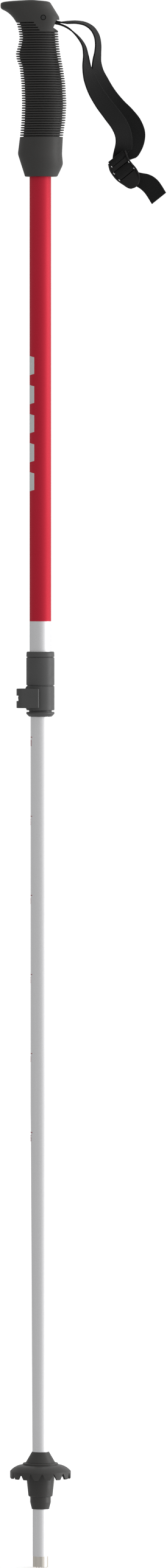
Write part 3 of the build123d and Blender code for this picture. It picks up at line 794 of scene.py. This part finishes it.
def plate_from_loops(name, loops, half_thick, edge):
    """A flat plate with rounded rims from its outline and holes."""
    curve = bpy.data.curves.new(name, "CURVE")
    curve.dimensions = "2D"
    curve.fill_mode = "BOTH"
    curve.extrude = (half_thick - edge) * MM
    curve.bevel_depth = edge * MM
    curve.bevel_resolution = 3
    curve.offset = -edge * MM
    for loop in loops:
        add_loop(curve, loop)
    holder = bpy.data.objects.new(name + "_curve", curve)
    scene.collection.objects.link(holder)
    mesh = bpy.data.meshes.new_from_object(holder.evaluated_get(bpy.context.evaluated_depsgraph_get()))
    bpy.data.objects.remove(holder)
    welded = bmesh.new()
    welded.from_mesh(mesh)
    bmesh.ops.remove_doubles(welded, verts=welded.verts, dist=0.002 * MM)
    bmesh.ops.recalc_face_normals(welded, faces=welded.faces)
    welded.to_mesh(mesh)
    welded.free()
    plate = bpy.data.objects.new(name, mesh)
    scene.collection.objects.link(plate)
    mesh.shade_smooth()
    mesh.set_sharp_from_angle(angle=math.radians(35))
    return plate


def to_buckle_frame(obj):
    """Moves a mesh drawn in (across, down, behind) to the buckle's place."""
    matrix = Matrix.Identity(4)
    for column, direction in enumerate((BUCKLE_ACROSS, BUCKLE_DOWN, BUCKLE_BEHIND)):
        for row in range(3):
            matrix[row][column] = direction[row]
    obj.data.transform(Matrix.Translation(BUCKLE_ORIGIN * MM) @ matrix)


def rail(points, width, front, back):
    """A wall along the buckle's side with rounded edges, sinking into the plate toward the tongue's end."""
    rings = []
    edge = 0.28
    for index, (x, y) in enumerate(points):
        height = 1 - smoothstep(RAIL_FADE_START, RAIL_FADE_END, y)
        face = front * height - RAIL_SUNK * (1 - height)
        before = Vector(points[max(index - 1, 0)])
        after = Vector(points[min(index + 1, len(points) - 1)])
        run = (after - before).normalized()
        out = Vector((run.y, -run.x))
        ring = []
        for corner_out, corner_deep, start in ((1, 1, 0), (-1, 1, 90), (-1, -1, 180), (1, -1, 270)):
            centre_out = corner_out * (0.5 * width - edge)
            centre_deep = back - edge if corner_deep > 0 else face + edge
            for step in range(4):
                angle = math.radians(start + 30 * step)
                sideways = centre_out + edge * math.cos(angle)
                deep = centre_deep + edge * math.sin(angle)
                ring.append((x + out.x * sideways, y + out.y * sideways, deep))
        rings.append(ring)
    return rings


def build_buckle():
    outline = curve_through(BUCKLE_LEFT + [BUCKLE_FOOT] + BUCKLE_RIGHT)
    plate = plate_from_loops("buckle_plate", [outline] + [rounded_slot(*slot) for slot in SLOTS],
                             BUCKLE_HALF_THICK, BUCKLE_EDGE)
    to_buckle_frame(plate)
    right = curve_through([BUCKLE_FOOT] + BUCKLE_RIGHT)[6:]
    left = curve_through(BUCKLE_LEFT + [BUCKLE_FOOT])[:-6]
    rails = join_skins("buckle_rails", [
        rail([(x - 0.55, y) for x, y in right], 1.1, -2.5, 1.1),
        rail([(x + 0.45, y) for x, y in left], 0.9, -1.9, 1.1),
    ])
    to_buckle_frame(rails)
    for piece in (plate, rails):
        piece.data.materials.append(buckle_black)
        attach(piece, "strap")
        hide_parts("strap_buckle")


build_buckle()


# ---------------------------------------------------------------- prints on the tubes
UPPER_R = 6.8
LOWER_R = 6.15
PRINT_THICK = 0.03


def wrap_on_hook_side(obj, radius, height):
    """Bends a flat print, drawn with X to the right and Y up, round the tube's hook side."""
    shape = bmesh.new()
    shape.from_mesh(obj.data)
    reach = max(abs(vertex.co.x) for vertex in shape.verts)
    step = 0.35 * MM
    count = int(reach / step)
    for index in range(-count, count + 1):
        bmesh.ops.bisect_plane(shape, geom=shape.verts[:] + shape.edges[:] + shape.faces[:],
                               plane_co=(index * step, 0, 0), plane_no=(1, 0, 0))
    for vertex in shape.verts:
        angle = vertex.co.x / (radius * MM)
        out = radius * MM + vertex.co.z
        vertex.co = Vector((-out * math.cos(angle), -out * math.sin(angle), height * MM + vertex.co.y))
    bmesh.ops.recalc_face_normals(shape, faces=shape.faces)
    shape.to_mesh(obj.data)
    shape.free()


def flat_print(name, outline):
    """A thin plate with an outline in (right, up)."""
    low = [(x, y, -PRINT_THICK) for x, y in outline]
    high = [(x, y, PRINT_THICK) for x, y in outline]
    return skin(name, [low, high])


def number_print(name, text, height, width_scale=0.68):
    """A number of that height, its middle at the origin."""
    curve = bpy.data.curves.new(name, "FONT")
    curve.body = text
    curve.align_x = "CENTER"
    curve.size = height / 0.70 * MM
    curve.extrude = PRINT_THICK * MM
    holder = bpy.data.objects.new(name + "_text", curve)
    scene.collection.objects.link(holder)
    mesh = bpy.data.meshes.new_from_object(holder.evaluated_get(bpy.context.evaluated_depsgraph_get()))
    bpy.data.objects.remove(holder)
    mesh.transform(Matrix.Diagonal((width_scale, 1, 1, 1)))
    obj = bpy.data.objects.new(name, mesh)
    scene.collection.objects.link(obj)
    return obj


SCALE_TOP_Z = 525.5
SCALE_STEP_Z = 50.0
SCALE_NUMBERS = (100, 95, 90, 85, 80, 75)
DIGIT_HEIGHT = 4.0
TICK_HALF = 3.4


def build_scale():
    for index, number in enumerate(SCALE_NUMBERS):
        tick_z = SCALE_TOP_Z - index * SCALE_STEP_Z
        tick = flat_print(f"scale_tick_{number}", [
            (-TICK_HALF, -0.25), (TICK_HALF, -0.25), (TICK_HALF, 0.25), (-TICK_HALF, 0.25),
        ])
        digits = number_print(f"scale_number_{number}", str(number), DIGIT_HEIGHT)
        wrap_on_hook_side(tick, LOWER_R, tick_z)
        wrap_on_hook_side(digits, LOWER_R, tick_z - 1.6 - DIGIT_HEIGHT)
        for piece in (tick, digits):
            piece.data.materials.clear()
            piece.data.materials.append(red_print)
            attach(piece, "lower_section")


BARS_TOP_Z = 767.7
BARS_BOTTOM_Z = 679.2
BARS = 5
BAR_GAP = 3.0
BAR_HALF = 6.6
BAR_SLANT = 2.4


def build_bars():
    """Plain slanted bars on the red tube."""
    length = (BARS_TOP_Z - BARS_BOTTOM_Z - (BARS - 1) * BAR_GAP) / BARS
    for index in range(BARS):
        top = BARS_TOP_Z - index * (length + BAR_GAP)
        bar = flat_print(f"tube_bar_{index + 1}", [
            (-BAR_HALF, -length), (BAR_HALF, -length + BAR_SLANT), (BAR_HALF, -BAR_SLANT), (-BAR_HALF, 0),
        ])
        wrap_on_hook_side(bar, UPPER_R, top)
        bar.data.materials.append(silver_print)
        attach(bar, "handle")


build_scale()
build_bars()


# ---------------------------------------------------------------- studio
def build_floor():
    material, body = shader("studio_floor", 0.0, 0.2)
    cloudy = noise(material, place(material), 400.0)
    tint = blend_colours(material, cloudy, (0.90, 0.90, 0.90), (0.93, 0.93, 0.93))
    link(material, tint, body.inputs["Base Color"])
    body.inputs["Roughness"].default_value = 0.9
    body.inputs["Emission Color"].default_value = (1, 1, 1, 1)
    body.inputs["Emission Strength"].default_value = 0.45
    reach = 8000
    floor = mesh_object("studio_floor", [(-reach, -reach, -0.2), (reach, -reach, -0.2), (reach, reach, -0.2),
                                         (-reach, reach, -0.2)], [(0, 1, 2, 3)])
    floor.data.materials.append(material)
    floor.visible_glossy = False
    floor.visible_diffuse = False


SOFTBOX_BEARING = 86
SOFTBOX_DISTANCE = 2.4
SOFTBOX_HEIGHT = 0.55
SOFTBOX_SIZE = (1.5, 3.0)
SOFTBOX_WATTS = 34


def build_softbox():
    """A tall soft light beside the pole, on the strap side."""
    data = bpy.data.lights.new("softbox", "AREA")
    data.shape = "RECTANGLE"
    data.size, data.size_y = SOFTBOX_SIZE
    data.energy = SOFTBOX_WATTS
    softbox = bpy.data.objects.new("softbox", data)
    scene.collection.objects.link(softbox)
    bearing = math.radians(SOFTBOX_BEARING)
    softbox.location = (SOFTBOX_DISTANCE * math.sin(bearing), -SOFTBOX_DISTANCE * math.cos(bearing), SOFTBOX_HEIGHT)
    aim = Vector((0, 0, SOFTBOX_HEIGHT)) - softbox.location
    softbox.rotation_euler = aim.to_track_quat("-Z", "Y").to_euler()
    softbox.visible_camera = False


LEFT_LIGHT = 0.50
RIGHT_LIGHT = 1.15
FILL_BEARING = 105


def build_world():
    """A dim, even studio with one very large soft light on the strap side and a white backdrop."""
    world = bpy.data.worlds.new("studio")
    world.use_nodes = True
    scene.world = world
    tree = world.node_tree
    coords = tree.nodes.new("ShaderNodeTexCoord")
    toward = tree.nodes.new("ShaderNodeVectorMath")
    toward.operation = "DOT_PRODUCT"
    bearing = math.radians(FILL_BEARING)
    toward.inputs[1].default_value = (math.sin(bearing), -math.cos(bearing), 0.0)
    tree.links.new(coords.outputs["Generated"], toward.inputs[0])
    ramp = tree.nodes.new("ShaderNodeMapRange")
    ramp.inputs["From Min"].default_value = -0.19
    ramp.inputs["From Max"].default_value = 1.05
    ramp.inputs["To Min"].default_value = LEFT_LIGHT
    ramp.inputs["To Max"].default_value = RIGHT_LIGHT
    tree.links.new(toward.outputs["Value"], ramp.inputs["Value"])
    studio = tree.nodes["Background"]
    tree.links.new(ramp.outputs["Result"], studio.inputs["Strength"])
    studio.inputs["Color"].default_value = (1, 1, 1, 1)
    backdrop = tree.nodes.new("ShaderNodeBackground")
    backdrop.inputs["Color"].default_value = (1, 1, 1, 1)
    backdrop.inputs["Strength"].default_value = 1.05
    path = tree.nodes.new("ShaderNodeLightPath")
    mix = tree.nodes.new("ShaderNodeMixShader")
    tree.links.new(path.outputs["Is Camera Ray"], mix.inputs["Fac"])
    tree.links.new(studio.outputs["Background"], mix.inputs[1])
    tree.links.new(backdrop.outputs["Background"], mix.inputs[2])
    tree.links.new(mix.outputs["Shader"], tree.nodes["World Output"].inputs["Surface"])


CAMERA_X = 27.2
CAMERA_DISTANCE = 7430
CAMERA_HEIGHT = 710
TARGET_Z = 495.85
PICTURE_HEIGHT = 990.8
SENSOR = 36.0


def build_camera():
    data = bpy.data.cameras.new("camera")
    camera = bpy.data.objects.new("camera", data)
    scene.collection.objects.link(camera)
    place_at = Vector((CAMERA_X, -CAMERA_DISTANCE, CAMERA_HEIGHT))
    target = Vector((CAMERA_X, 0, TARGET_Z))
    camera.location = place_at * MM
    camera.rotation_euler = (target - place_at).to_track_quat("-Z", "Y").to_euler()
    data.sensor_width = SENSOR
    data.lens = SENSOR * (target - place_at).length / PICTURE_HEIGHT
    data.clip_end = 100
    scene.camera = camera


build_floor()
build_softbox()
build_world()
build_camera()
scene.view_settings.view_transform = "Standard"
